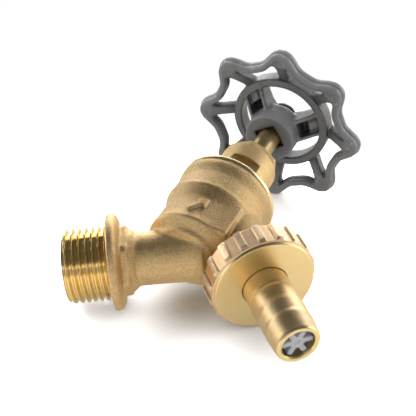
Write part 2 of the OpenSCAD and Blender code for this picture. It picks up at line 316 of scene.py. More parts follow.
def sampled(distance, low, high, step):
    """Samples a distance on a grid, finely only near its zero surface, and softens it."""
    coarse, chunk = 4, 400000
    count = np.ceil((high - low) / (step * coarse)).astype(int)
    ticks = [low[i] + (np.arange(count[i]) + 0.375) * step * coarse for i in range(3)]
    grid = np.stack(np.meshgrid(*ticks, indexing="ij"), -1).reshape(-1, 3)
    values = distance(grid).reshape(count)
    near = np.abs(values) < 8.5 * step
    for axis in range(3):
        values, near = values.repeat(coarse, axis), near.repeat(coarse, axis)
    index = np.argwhere(near)
    fine = np.empty(len(index))
    for i in range(0, len(index), chunk):
        fine[i : i + chunk] = distance(low + index[i : i + chunk] * step)
    values[near] = fine
    for axis in range(3):
        rows = np.moveaxis(values, axis, 0)
        soft = rows.copy()
        soft[1:-1] = 0.25 * rows[:-2] + 0.5 * rows[1:-1] + 0.25 * rows[2:]
        values = np.moveaxis(soft, 0, axis)
    return values


def zero_surface(values, low, step):
    """Points and quads of the zero surface of sampled values, one point per crossed cell."""
    inside = values < 0
    cells = tuple(np.array(values.shape) - 1)
    count = np.zeros(cells, np.int8)
    for x, y, z in CORNERS:
        count += inside[x : cells[0] + x, y : cells[1] + y, z : cells[2] + z]
    crossed = (count > 0) & (count < 8)
    index = np.argwhere(crossed)
    ids = np.full(cells, -1, np.int64)
    ids[crossed] = np.arange(len(index))
    at_corner = np.stack(
        [values[index[:, 0] + x, index[:, 1] + y, index[:, 2] + z] for x, y, z in CORNERS], 1
    )
    total, hits = np.zeros((len(index), 3)), np.zeros(len(index))
    corners = np.array(CORNERS, float)
    for i, j in combinations(range(8), 2):
        if np.abs(corners[i] - corners[j]).sum() != 1:
            continue
        first, second = at_corner[:, i], at_corner[:, j]
        hit = (first < 0) != (second < 0)
        t = np.where(hit, first / np.where(hit, first - second, 1), 0)
        crossing = corners[i] + (corners[j] - corners[i]) * t[:, None]
        total += np.where(hit[:, None], crossing, 0)
        hits += hit
    points = low + (index + total / hits[:, None]) * step
    quads = []
    for axis in range(3):
        order = (axis, (axis + 1) % 3, (axis + 2) % 3)
        solid_side = np.moveaxis(inside, order, (0, 1, 2))
        cell = np.moveaxis(ids, order, (0, 1, 2))
        edges = np.argwhere(solid_side[:-1, 1:-1, 1:-1] != solid_side[1:, 1:-1, 1:-1])
        i, j, k = edges[:, 0], edges[:, 1] + 1, edges[:, 2] + 1
        quad = np.stack(
            [cell[i, j - 1, k - 1], cell[i, j, k - 1], cell[i, j, k], cell[i, j - 1, k]], 1
        )
        quads.append(np.where(solid_side[i, j, k][:, None], quad, quad[:, ::-1]))
    return points, np.concatenate(quads)


def relaxed(points, quads):
    """Evens out a net by moving each point halfway to the mean of its neighbours."""
    edges = np.concatenate([quads[:, [i, (i + 1) % 4]] for i in range(4)])
    start, stop = edges[:, 0], edges[:, 1]
    size = len(points)
    total = np.zeros_like(points)
    for i in range(3):
        total[:, i] = np.bincount(start, points[stop, i], size) + np.bincount(
            stop, points[start, i], size
        )
    count = np.bincount(start, minlength=size) + np.bincount(stop, minlength=size)
    return points + (total / np.maximum(count, 1)[:, None] - points) * 0.5


def normals(points, quads):
    """Unit normals at the points of a net."""
    face = np.cross(
        points[quads[:, 2]] - points[quads[:, 0]], points[quads[:, 3]] - points[quads[:, 1]]
    )
    out = np.zeros_like(points)
    for corner, i in product(range(4), range(3)):
        out[:, i] += np.bincount(quads[:, corner], face[:, i], len(points))
    return out / np.maximum(np.linalg.norm(out, axis=1), 1e-12)[:, None]


def skin(distance, low, high, step, axis=None):
    """Points and quads of a distance's zero surface. The distance takes frame points.
    The grid's box is in the axis' own coordinates if an axis is given."""
    low, high = np.array(low, float), np.array(high, float)

    def placed(points):
        return axis.to_frame(*points.T) if axis else points

    values = sampled(lambda grid: distance(placed(grid)), low, high, step)
    points, quads = zero_surface(values, low, step)
    return placed(relaxed(points, quads)), quads


# ---------------------------------------------------------------- cast body
# Outlines of radius and station: the barrel on the stem axis, flange and pipe on the inlet.
BARREL = [
    (0, -2.2), (8.9, -2.0), (9.7, -1.7), (10.1, -1.0), (10.2, -0.7), (10.6, -0.3), (12.3, 1.0),
    (12.8, 1.4), (12.95, 1.9), (12.9, 2.5), (12.8, 4.0), (12.8, 11.3), (13.4, 12.6),
    (14.05, 14.0), (14.4, 14.9), (14.3, 15.4), (14.25, 16), (14.25, 21), (14.5, 22.4),
    (14.75, 23.4), (14.95, 24.6), (14.95, 25.3), (14.65, 25.6), (14.7, 25.9), (15.05, 26.0),
    (15.05, 27.45), (14.85, 27.68), (0, 27.68),
]
FLANGE = [
    (0, 0), (13.35, 0), (13.52, 0.15), (13.55, 0.8), (13.52, 1.5), (13.35, 1.95), (13.0, 2.35),
    (12.4, 2.7), (11.5, 3.0), (10.4, 3.2), (9.0, 3.5), (0, 3.5),
]
PIPE = [
    (0, 2.5), (9.0, 2.5), (9.0, 5.4), (8.4, 6.5), (7.62, 7.25), (7.5, 8), (7.5, 12),
    (7.6, 17), (7.85, 20.5), (8.15, 22.9), (8.3, 25.5), (0, 25.5),
]
# Section of the shoulder block: across and rise on the stem axis.
BLOCK = [(-3, -11), (3.9, -12.1), (11.6, -9.2), (11.6, 9.2), (3.9, 12.1), (-3, 11)]
# Arrow outline, pointing along its first column.
ARROW = [
    (-3.6, -0.75), (0.6, -0.75), (0.6, -1.9), (3.7, 0), (0.6, 1.9), (0.6, 0.75), (-3.6, 0.75),
]
ARROW_STATION, ARROW_ANGLE = 7.2, math.radians(84)
ARROW_SKIN = 12.85  # radius its angles are measured at
ARROW_COS, ARROW_SIN = 0.82, 0.57  # its slant from the stem axis
HEX_HALF, HEX_RADIUS = 9.0, 9.95  # half across flats, radius of the turned corners
SIN_60 = 0.8660254
NECK_RADIUS, COLLAR_RADIUS = 7.75, 11.9
INLET_BORE, OUTLET_BORE = 5.5, 5.2

# Helical threads: the spigot on the inlet, the nose on the outlet.
PITCH = 1.814
SPIGOT_TIP, SPIGOT_ROOT = -12.5, 0.6
NOSE_ROOT, NOSE_TIP = 26.3, 31.7


def body_outside(points, stem_r, outlet_r, outlet):
    """The casting before it is hollowed."""
    x, y, z = points.T
    inlet_r = np.hypot(y, z)
    across, rise, stem = STEM.local(points)
    # flange, hexagon and pipe with a rounded inner end
    hexagon = np.maximum(np.abs(0.5 * y + SIN_60 * z), np.abs(0.5 * y - SIN_60 * z))
    hexagon = np.maximum(np.abs(y), hexagon) - HEX_HALF
    hexagon = trim(np.maximum(hexagon, inlet_r - HEX_RADIUS), band(x, 2.0, 5.35), 0.18)
    pipe_end = np.sqrt((x - 24.2) ** 2 + inlet_r**2) - 7.95
    pipe = merge(polygon(inlet_r, x, PIPE), pipe_end, 0.6)
    body = merge(polygon(inlet_r, x, FLANGE), hexagon, 0.3)
    body = merge(body, pipe, 0.3)
    # barrel with its shoulder block
    block = trim(polygon(across, rise, BLOCK), band(stem, 2.0, 13.9), 0.5)
    body = merge(body, merge(polygon(stem_r, stem, BARREL), block, 0.55), 0.7)
    # outlet neck and the collar behind its thread, with a sloping back
    neck = trim(outlet_r - NECK_RADIUS, band(outlet, 6.0, 27.0), 0.3)
    collar = np.maximum(outlet_r - COLLAR_RADIUS, band(outlet, 25.6, 26.4))
    slope = (outlet_r - COLLAR_RADIUS + (25.9 - outlet) * 1.6) * 0.53
    body = merge(body, merge(neck, trim(collar, slope, 0.3), 1.6), 1.0)
    # a raised arrow in the flow direction on each flank of the barrel
    for side in (-1, 1):
        lift = stem - ARROW_STATION
        around = (np.arctan2(rise * side, across) - ARROW_ANGLE) * ARROW_SKIN
        arrow = polygon(
            lift * ARROW_COS - around * ARROW_SIN, lift * ARROW_SIN + around * ARROW_COS, ARROW
        )
        arrow = trim(arrow, np.abs(stem_r - 12.9) - 0.48, 0.12)
        body = merge(body, np.where(rise * side > 0, arrow, 5.0), 0.15)
    return body


def body_field(points):
    x = points[:, 0]
    inlet_r = np.hypot(points[:, 1], points[:, 2])
    stem_r, _, stem = STEM.polar(points)
    outlet_r, _, outlet = OUTLET.polar(points)
    body = body_outside(points, stem_r, outlet_r, outlet)
    # barrel chamber and its wider mouth, outlet bore, groove in the flange face
    hollow = np.minimum(
        trim(stem_r - 10.4, band(stem, 8.0, 15.6), 0.3), np.maximum(stem_r - 12.05, 15.4 - stem)
    )
    hollow = np.minimum(hollow, np.maximum(outlet_r - OUTLET_BORE, -outlet))
    hollow = np.minimum(hollow, np.maximum(band(inlet_r, 9.1, 10.8), x - 0.35))
    body = np.maximum(body, -hollow)
    # seat with a tapering lip
    lip = stem_r - np.where(stem > 8.1, 7.0 - (stem - 8.1) * 0.3, 7.3)
    body = merge(body, trim(band(stem, 2.0, 9.5), lip, 0.3), 0.4)
    # inlet bore, the room under the seat and the hole through it
    hollow = np.maximum(inlet_r - INLET_BORE, x - 21.5)
    hollow = np.minimum(hollow, trim(stem_r - 7.1, band(stem, -1.0, 5.0), 0.6))
    hollow = np.minimum(hollow, np.maximum(stem_r - 5.3, band(stem, 4.8, 10.5)))
    body = trim(body, -hollow, 0.15)
    # flat machined ends
    return np.maximum(body, np.maximum(-x, outlet - 26.35))


def thread(axis, root, crest, start, stop, crest_at, fade_in, fade_out, chamfer, bore):
    """A ring with a right-hand thread from start to stop. The fades are spans where the
    thread begins and ends, chamfer gives the greatest radius at a station, and bore is the
    inside outline of radius and station."""
    count, step = 240, 0.075
    angles = even_angles(count)
    rows = np.arange(start, stop + 1e-6, (stop - start) / round((stop - start) / step))
    along = np.repeat(rows[:, None], count, 1)
    turn = (along - crest_at) / PITCH - angles[None] / (2 * np.pi)
    depth = np.abs((turn + 0.5) % 1.0 - 0.5) * 2  # 0 on the crest, 1 in the root
    height = 1 - smooth_step(0.16, 0.80, depth)
    height = 0.55 * height + 0.45 * np.clip((0.80 - depth) / 0.62, 0, 1)
    height = height * smooth_step(*fade_in, along) * (1 - smooth_step(*fade_out, along))
    radius = np.minimum(root + (crest - root) * height, chamfer(along))
    bore_radius, bore_along = spread(bore, count)
    radius = np.concatenate([radius[::-1], bore_radius])
    along = np.concatenate([along[::-1], bore_along])
    return turned(axis, radius, along, angles)


def inlet_spigot():
    chamfer = 0.45
    return thread(
        INLET, root=9.26, crest=10.4775, start=SPIGOT_TIP, stop=SPIGOT_ROOT,
        crest_at=-12.3 - PITCH * 0.28, fade_in=(-12.9, -12.6), fade_out=(-0.95, -0.25),
        chamfer=lambda along: 9.55 + (along - SPIGOT_TIP) * 1.5,
        bore=[
            (INLET_BORE + chamfer, SPIGOT_TIP), (INLET_BORE, SPIGOT_TIP + chamfer),
            (INLET_BORE, SPIGOT_ROOT),
        ],
    )


def outlet_nose():
    return thread(
        OUTLET, root=11.85, crest=13.0, start=NOSE_ROOT, stop=NOSE_TIP,
        crest_at=27.0, fade_in=(26.2, 26.7), fade_out=(31.9, 32.2),
        chamfer=lambda along: 12.2 + (NOSE_TIP - along) * 1.3,
        bore=[
            (OUTLET_BORE, NOSE_ROOT), (OUTLET_BORE, 29.9), (7.6, 29.9), (7.6, 31.5),
            (7.8, NOSE_TIP),
        ],
    )


def build_body():
    points, quads = skin(
        body_field, low=(-1.2, -16.2, -17.5), high=(49.5, 16.2, 34.5), step=0.30
    )
    # grain everywhere but on the machined rim, flange face and outlet end
    stem = STEM.local(points)[2]
    outlet_r, _, outlet = OUTLET.polar(points)
    machined = np.maximum.reduce([
        smooth_step(25.7, 25.95, stem),
        1 - smooth_step(0.15, 0.5, points[:, 0]),
        smooth_step(25.4, 25.6, outlet) * (outlet_r < 14),
    ])
    grain = (
        0.016 * noise(points / 0.62)
        + 0.012 * noise(points / 1.9 + 11)
        + 0.028 * noise(points / 7.5 + 5)
    )
    points = points + normals(points, quads) * (grain * (1 - machined))[:, None]
    ob = solid(
        "valve_body_casting", *join([(points, quads), inlet_spigot(), outlet_nose()]), sharp=38
    )
    # material slots: 0 cast skin, 1 turned threads
    faces = ob.data.polygons
    is_thread = np.arange(len(faces)) >= len(quads)
    faces.foreach_set("material_index", is_thread.astype(np.int32))
    return ob


# ---------------------------------------------------------------- headwork
BONNET_RADIUS, BONNET_FLAT = 9.0, 7.75  # the flat is its distance from the axis
BONNET_FLAT_ANGLES = np.radians([108.0, 288.0])
GLAND_BASE, GLAND_TOP = 43.22, 46.0
GLAND_FLATS, GLAND_CORNER = 15.6, 8.86  # across flats, radius of the turned corners
GLAND_ANGLES = np.radians(38 + 60 * np.arange(6))
SQUARE_TURN = -26  # degrees the spindle's square and the wheel's socket are turned


def build_bonnet():
    half = math.acos(BONNET_FLAT / BONNET_RADIUS)
    flats = BONNET_FLAT_ANGLES
    angles = angles_with(144, np.concatenate(
        [flats - half, flats + half, flats - half - 0.012, flats + half + 0.012]
    ))
    # radius, station, corner size; five raised rings stand on the lower part
    outline = [(7.8, 16.5, 0), (11.3, 16.5, 0), (11.3, 17.4, 0)]
    for i in range(5):
        middle = 18.2 + 1.7 * i
        outline += [
            (11.3, middle - 0.6, 0), (12.0, middle - 0.15, 0),
            (12.0, middle + 0.15, 0), (11.3, middle + 0.6, 0),
        ]
    outline += [
        (11.3, 27.1, 0.1), (9.0, 27.1, 0.3), (9.0, 29.42, 0), (9.0, 29.5, 0), (9.0, 29.56, 0),
        (9.0, 37.10, 0), (9.0, 37.20, 0), (9.0, 37.26, 0), (9.0, 42.9, 0.1),
        (8.72, 43.2, 0.06), (6.6, 43.2, 0.05), (6.42, 43.0, 0.05), (6.42, 34.5, 0),
        (3.6, 34.5, 0.05), (3.6, 33.0, 0), (5.05, 33.0, 0), (5.05, 21.0, 0), (7.8, 21.0, 0),
    ]
    radius, along = spread(soften(outline, 3), len(angles))
    gap = angle_from(angles, flats)
    flat = np.where(gap < half, BONNET_FLAT / np.cos(np.minimum(gap, half)), BONNET_RADIUS)
    milled = (along > 29.48) & (along < 37.22) & (radius > 8.5)
    radius = np.where(milled, np.minimum(radius, flat[None]), radius)
    return solid("bonnet_turned", *turned(STEM, radius, along, angles), sharp=30)


def build_gland():
    angles = angles_with(
        180, np.concatenate([GLAND_ANGLES, GLAND_ANGLES - 0.02, GLAND_ANGLES + 0.02])
    )
    stations = np.concatenate([
        np.linspace(GLAND_BASE, 44.0, 12),
        np.linspace(44.05, 45.0, 4),
        np.linspace(45.05, GLAND_TOP, 14),
    ])
    # radius and station; rows at the blank radius are cut to the hexagon below
    blank = 9.4
    outline = [(3.6, 39.4), (6.0, 39.4), (6.3, 39.8), (6.3, 43.0), (6.6, 43.12)]
    outline += [(blank, along) for along in stations]
    outline += [(7.1, GLAND_TOP), (4.3, GLAND_TOP), (3.95, 45.75), (3.6, 45.6)]
    radius, along = spread(outline, len(angles))
    gap = angle_from(angles, GLAND_ANGLES)
    hexagon = np.minimum((GLAND_FLATS / 2) / np.cos(math.pi / 6 - gap), GLAND_CORNER)
    chamfers = np.minimum(
        7.75 + (along - GLAND_BASE) * 1.75, 7.45 + (GLAND_TOP - along) * 1.75
    )
    radius = np.where(radius > 9, np.minimum(hexagon[None], chamfers), radius)
    return solid("gland_nut_turned", *turned(STEM, radius, along, angles), sharp=24)


def build_stem():
    angles = angles_with(96, np.radians(SQUARE_TURN + 45 * np.arange(8)))
    # radius and station; eight V grooves, a plain shaft, a square end and a screw hole
    outline = [(2.45, 20.7), (4.6, 20.7), (5.0, 21.1)]
    for i in range(8):
        along = 21.6 + 1.5 * i
        outline += [(5.0, along), (4.55, along + 0.45), (5.0, along + 0.9)]
    outline += [
        (5.0, 32.6), (4.7, 32.9), (3.54, 32.9), (3.54, 60.9), (3.54, 61.0), (3.54, 61.06),
        (3.54, 67.3), (3.2, 67.6), (1.55, 67.6), (1.55, 57.0), (0.0001, 57.0),
        (0.0001, 27.2), (2.45, 27.2),
    ]
    radius, along = spread(outline, len(angles))
    square = 2.8 / np.cos(wrap(angles, SQUARE_TURN, 4))
    milled = (along > 61.03) & (radius > 3)
    radius = np.where(milled, np.minimum(radius, square[None]), radius)
    return solid("spindle_turned", *turned(STEM, radius, along, angles), sharp=30)


# ---------------------------------------------------------------- handwheel
RIM_RADIUS, WAVE, SECOND_WAVE = 23.9, 2.4, 0.22  # the second wave is a share of the first
WAVES, WAVE_TURN = 8, 4.5  # count, degrees
SPOKES, SPOKE_TURN = 3, -11.0
# Outlines of radius and station.
HUB = [
    (0, 59.5), (8.0, 59.5), (8.34, 59.85), (8.36, 63), (8.32, 67.4), (8.0, 68.0), (6.6, 69.3),
    (5.8, 71.2), (0, 71.2),
]
WEB = [
    (15.6, 70.7), (15.6, 73.9), (17.8, 73.4), (23.4, 69.5), (25.6, 68.6), (25.6, 65.3),
    (23.6, 65.3), (18.4, 68.9),
]
ARM = [
    (5.5, 63.2), (7.9, 63.7), (10.4, 65.4), (13.3, 68.0), (14.9, 68.75), (14.9, 73.9),
    (13.0, 73.7), (8.2, 70.8), (5.5, 70.2),
]
ARM_GAP = [(8.3, 60.0), (13.75, 60.0), (13.75, 72.2), (12.6, 71.9), (8.9, 69.4), (8.3, 69.0)]
ARM_FILL = [(10.7, 67.2), (13.3, 69.2), (14.4, 69.6), (14.4, 72.8), (12.4, 72.2), (10.7, 71.0)]
ARM_LUMP = [(11.1, 66.9), (13.5, 68.7), (13.5, 71.0), (11.1, 69.5)]
SCREW_HEAD = [
    (0, 72.12), (5.3, 72.12), (5.42, 72.4), (5.4, 73.0), (4.98, 73.95), (4.0, 74.75),
    (2.6, 75.2), (0, 75.4),
]
SCREW_TURN = 20


def wheel_arms(radius, angle, along):
    """Three arms, each a channel open on the valve side."""
    out, beside = fold(radius, angle, SPOKE_TURN, SPOKES)
    beside = np.abs(beside)
    half = 3.95 + 0.35 * smooth_step(11.5, 15.0, out)
    arm = trim(polygon(out, along, ARM), beside - half, 0.55)
    gap = trim(polygon(out, along, ARM_GAP), beside - (half - 1.3), 0.5)
    fill = np.maximum(polygon(out, along, ARM_FILL), beside - 3.2)
    lump = trim(polygon(out, along, ARM_LUMP), beside - 1.75, 0.7)
    return merge(trim(arm, -gap, 0.35), merge(fill, lump, 0.2), 0.25)


def wheel_rim(radius, angle, along):
    """Wavy rim: a round bead on the valve side under a slightly wider lip."""
    phase = WAVES * (angle - math.radians(WAVE_TURN))
    middle = RIM_RADIUS + WAVE * (np.cos(phase) + SECOND_WAVE * np.cos(2 * phase))
    slope = -WAVES * WAVE * (np.sin(phase) + 2 * SECOND_WAVE * np.sin(2 * phase)) / middle
    offset = (radius - middle) / np.sqrt(1 + slope * slope)
    bead = rounded_box(offset + 0.05, along - 65.95, half=(1.12, 1.05), corner=0.9)
    lip = rounded_box(offset - 0.08, along - 67.85, half=(1.42, 1.05), corner=0.4)
    return merge(bead, lip, 0.28)


def wheel_field(points):
    across, rise, along = STEM.local(points)
    radius, angle = np.hypot(across, rise), np.arctan2(rise, across)
    # hub, arms and middle ring
    wheel = merge(polygon(radius, along, HUB), wheel_arms(radius, angle, along), 0.55)
    ring = rounded_box(radius - 15.18, along - 71.45, half=(1.38, 2.75), corner=0.45)
    wheel = merge(wheel, ring, 0.5)
    # a web from the ring to each wave crest of the rim
    out, beside = fold(radius, angle, WAVE_TURN, WAVES)
    half = 1.75 + 0.5 * smooth_step(21.0, 24, out)
    web = trim(polygon(out, along, WEB), np.abs(beside) - half, 0.8)
    wheel = merge(wheel, merge(web, wheel_rim(radius, angle, along), 1.5), 0.8)
    # square socket with a wider mouth, and the screw hole
    first, second = spin(across, rise, SQUARE_TURN)
    side = np.maximum(np.abs(first), np.abs(second))
    wheel = np.maximum(wheel, -np.maximum(side - 3.75, along - 61.4))
    wheel = np.maximum(wheel, -np.maximum(side - 2.86, along - 67.65))
    return trim(wheel, -(radius - 2.2), 0.15)


def build_wheel():
    points, quads = skin(
        wheel_field, low=(-29.4, -29.4, 58.6), high=(29.4, 29.4, 75.2), step=0.27, axis=STEM
    )
    grain = 0.018 * noise(points / 1.1) + 0.03 * noise(points / 5 + 3)
    points = points + normals(points, quads) * grain[:, None]
    return solid("handwheel_moulding", points, quads)


def screw_field(points):
    """A domed head with a cross slot, on a neck and shank."""
    across, rise, along = STEM.local(points)
    radius = np.hypot(across, rise)
    x, y = spin(across, rise, SCREW_TURN)
    long, short, corner = 2.4, 0.5, 0.2
    slot = np.minimum(
        rounded_box(x, y, (long, short), corner), rounded_box(x, y, (short, long), corner)
    )
    slot = np.maximum(slot, 73.9 + 0.25 * radius - along)
    head = trim(polygon(radius, along, SCREW_HEAD), -slot, 0.15)
    shank = np.maximum(radius - 1.5, band(along, 58.2, 73))
    neck = np.maximum(radius - 2.0, band(along, 67.7, 73))
    return np.minimum(head, np.minimum(shank, neck))


def build_screw():
    return solid("handwheel_screw_domed", *skin(
        screw_field, low=(-6.0, -6.0, 57.6), high=(6.0, 6.0, 76.0), step=0.14, axis=STEM
    ))


def build_washer():
    inner, outer, bottom, top, corner = 2.2, 6.3, 71.22, 72.1, 0.18
    outline = [
        (inner, bottom, corner), (outer, bottom, corner),
        (outer, top, corner), (inner, top, corner),
    ]
    return solid("handwheel_washer_plated", *lathe(STEM, soften(outline, 4), 96))


# ---------------------------------------------------------------- outlet
# Outlines of radius, station and corner size.
NUT = [
    (13.1, 28.6, 0.1), (13.35, 28.1, 0.08), (14.1, 28.1, 0.25), (14.45, 28.5, 0.2),
    (14.45, 34.85, 0.12), (14.62, 34.98, 0.08), (14.6, 35.25, 0.1), (14.22, 35.42, 0.06),
    (14.1, 36.1, 0.08), (13.92, 36.3, 0.08), (6.6, 36.3, 0.05), (6.5, 36.2, 0.05),
    (6.5, 34.62, 0.05), (13.1, 34.62, 0.1),
]
TAIL = [
    (3.6, 33.2, 0.1), (12.3, 33.2, 0.1), (12.4, 33.35, 0.05), (12.4, 34.5, 0.05),
    (12.3, 34.58, 0), (6.4, 34.58, 0.05), (6.36, 34.8, 0.05), (6.36, 41.15, 0.1),
    (6.28, 41.45, 0.1), (6.42, 42.5, 0.05), (6.42, 42.9, 0.05), (6.30, 46.3, 0.1),
    (6.31, 46.5, 0.05), (6.42, 47.6, 0.05), (6.42, 48.0, 0.05), (6.30, 51.2, 0.1),
    (6.31, 51.45, 0.05), (6.42, 52.4, 0.05), (6.42, 52.8, 0.05), (5.97, 57.9, 0.1),
    (5.72, 58.5, 0.12), (5.5, 58.7, 0.08), (4.75, 58.7, 0.08), (4.42, 58.35, 0.08),
    (4.42, 44.02, 0.02), (3.6, 44.0, 0.02),
]
RIB_ANGLES = np.radians(8 + 20 * np.arange(18))
RIB_SKIN = 14.6  # radius rib widths are measured at
RIB_LIFT = 0.68
# Rib section: distance from its middle and share of its lift.
RIB_BESIDE = np.array([0, 0.5, 0.84, 0.94, 1.02, 1.14, 1.3])
RIB_SHARE = [1.0, 1.0, 0.96, 0.8, 0.35, 0.06, 0.0]
# Rib along the nut: station and share of its lift.
RIB_STATIONS = [28.1, 28.35, 28.6, 34.15, 34.75, 34.95]
RIB_STATION_SHARE = [0.0, 0.75, 1.0, 1.0, 0.35, 0.0]
SPRING_START, SPRING_END = 51.2, 56.0


def build_nut():
    beside = np.concatenate([-RIB_BESIDE[:0:-1], RIB_BESIDE]) / RIB_SKIN
    angles = angles_with(72, (RIB_ANGLES[:, None] + beside[None]).ravel())
    radius, along = spread(dense(soften(NUT, 4), 0.32), len(angles))
    gap = angle_from(angles, RIB_ANGLES) * RIB_SKIN
    share = np.interp(gap, RIB_BESIDE, RIB_SHARE)
    share_along = np.interp(along, RIB_STATIONS, RIB_STATION_SHARE)
    ribbed = (radius > 14.0) & (along < 34.96)
    lift = np.where(ribbed, share_along * share[None] * RIB_LIFT, 0)
    base = OUTLET.from_polar(radius, angles, along).reshape(-1, 3)
    grain = (0.022 * noise(base / 0.6) + 0.03 * noise(base / 2.2)).reshape(radius.shape)
    radius = radius + lift + np.where(ribbed & (along > 28.3), grain, 0)
    return solid("union_nut_ribbed", *turned(OUTLET, radius, along, angles), sharp=28)


def build_tail():
    outline = dense(soften(TAIL, 4), 0.5)
    return solid("hose_tail_turned", *lathe(OUTLET, outline, 144), sharp=32)


def insert_field(points):
    """A cup with a bored stem guide and a six-armed grid at its outlet end."""
    radius, angle, along = OUTLET.polar(points)
    cup = trim(radius - 4.37, band(along, 44.06, 57.7), 0.25)
    cup = trim(cup, -trim(radius - 3.55, 49.0 - along, 0.2), 0.2)
    cup = np.maximum(cup, -np.maximum(radius - 2.2, along - 49.6))
    cup = np.maximum(cup, -np.maximum(3.3 - radius, 55.9 - along))
    _, beside = fold(radius, angle, -2, 6)
    arms = trim(
        np.abs(beside) - 0.76, np.maximum(band(along, 55.6, 57.62), radius - 4.32), 0.15
    )
    hub = trim(radius - 1.8, band(along, 56.2, 57.66), 0.25)
    cup = merge(cup, merge(arms, hub, 0.4), 0.2)
    # outside groove and the hole on the axis
    cup = np.maximum(cup, -np.maximum(3.2 - radius, band(along, 45.9, 47.3)))
    return trim(cup, -(radius - 0.76), 0.12)


def build_insert():
    return solid("check_insert_moulding", *skin(
        insert_field, low=(-4.8, -4.8, 43.6), high=(4.8, 4.8, 58.2), step=0.115, axis=OUTLET
    ))


def build_spring():
    turns, steps, sides, coil_radius, wire_radius = 5, 28, 12, 1.75, 0.22
    count = turns * steps
    winding = 2 * np.pi * np.arange(count + 1) / steps
    section = 2 * np.pi * np.arange(sides) / sides
    radius = coil_radius + wire_radius * np.cos(section)[None]
    length = SPRING_END - SPRING_START
    along = SPRING_START + length * np.arange(count + 1)[:, None] / count
    along = along + wire_radius * np.sin(section)[None]
    coil = OUTLET.from_polar(radius, winding[:, None], along).reshape(-1, 3)
    centres = OUTLET.from_polar(
        np.full(2, coil_radius), winding[[0, -1]], np.array([SPRING_START, SPRING_END])
    )
    here = np.arange(sides)
    beside = (here + 1) % sides
    start, last = np.full(sides, len(coil)), count * sides
    caps = np.vstack([
        np.stack([start, beside, here], 1),
        np.stack([start + 1, last + here, last + beside], 1),
    ])
    quads = grid_quads(count + 1, sides, False)
    return solid("check_spring_coil", np.vstack([coil, centres]), quads, caps)


# ---------------------------------------------------------------- shader graphs
class Graph:
    """The node tree of a material or world, built by short calls. Inputs may be numbers,
    colours without alpha, sockets to link, or None to keep the default."""

    def __init__(self, owner):
        owner.use_nodes = True
        self.tree = owner.node_tree
        self.tree.nodes.clear()

    def put(self, socket, value):
        if isinstance(value, bpy.types.NodeSocket):
            self.tree.links.new(value, socket)
        elif isinstance(value, tuple):
            alpha = (1.0,) if len(socket.default_value) > len(value) else ()
            socket.default_value = value + alpha
        elif value is not None:
            socket.default_value = value

    def node(self, kind, *inputs, settings=None, **named):
        made = self.tree.nodes.new("ShaderNode" + kind)
        for key, value in (settings or {}).items():
            setattr(made, key, value)
        for socket, value in zip(made.inputs, inputs):
            self.put(socket, value)
        for key, value in named.items():
            self.put(made.inputs[key.replace("_", " ")], value)
        return made

    def shader(self, kind, *inputs, **named):
        return self.node(kind, *inputs, **named).outputs[0]

    def math(self, operation, *inputs):
        return self.node("Math", *inputs, settings={"operation": operation}).outputs[0]

    def vector(self, operation, *inputs):
        made = self.node("VectorMath", *inputs, settings={"operation": operation})
        scalar = operation in ("DOT_PRODUCT", "LENGTH", "DISTANCE")
        return made.outputs["Value"] if scalar else made.outputs[0]

    def ramp(self, value, span, to=(0.0, 1.0)):
        """A smooth step over a span of the value."""
        return self.node(
            "MapRange", settings={"interpolation_type": "SMOOTHSTEP"}, Value=value,
            From_Min=span[0], From_Max=span[1], To_Min=to[0], To_Max=to[1],
        ).outputs["Result"]

    def mix(self, factor, under, over, mode="MIX"):
        """A mix of two colours."""
        made = self.node("Mix", factor, settings={"data_type": "RGBA", "blend_type": mode})
        self.put(made.inputs[6], under)
        self.put(made.inputs[7], over)
        return made.outputs[2]

    def mix_value(self, factor, under, over):
        made = self.node("Mix", factor, settings={"data_type": "FLOAT"})
        self.put(made.inputs[2], under)
        self.put(made.inputs[3], over)
        return made.outputs[0]


class Material(Graph):
    """A principled material textured in object space."""

    def __init__(self, name):
        self.material = bpy.data.materials.new(name)
        super().__init__(self.material)
        output = self.node("OutputMaterial")
        self.principled = self.node("BsdfPrincipled")
        self.put(output.inputs[0], self.principled.outputs[0])
        self.coord = self.node("TexCoord").outputs["Object"]

    def noise(self, scale, detail=3, rough=0.6, coord=None, distort=0.0):
        return self.node(
            "TexNoise", Vector=coord or self.coord, Scale=scale, Detail=detail,
            Roughness=rough, Distortion=distort,
        ).outputs["Fac"]

    def on_line(self, value):
        """A coordinate that only changes with one value."""
        return self.node("CombineXYZ", value).outputs[0]

    def bump(self, height, distance, strength=1.0, normal=None):
        return self.node(
            "Bump", Height=height, Distance=distance, Strength=strength, Normal=normal
        ).outputs["Normal"]

    def offset(self, axis):
        return self.vector("SUBTRACT", self.coord, tuple(axis.origin * MM))

    def along(self, axis):
        """Station along an axis, millimetres."""
        metres = self.vector("DOT_PRODUCT", self.offset(axis), tuple(axis.direction))
        return self.math("MULTIPLY", metres, 1000.0)

    def radius(self, axis):
        """Distance from an axis, millimetres."""
        cross = self.vector("CROSS_PRODUCT", self.offset(axis), tuple(axis.direction))
        return self.math("MULTIPLY", self.vector("LENGTH", cross), 1000.0)

    def finish(self, **inputs):
        for key, value in inputs.items():
            self.put(self.principled.inputs[key.replace("_", " ")], value)
        return self.material


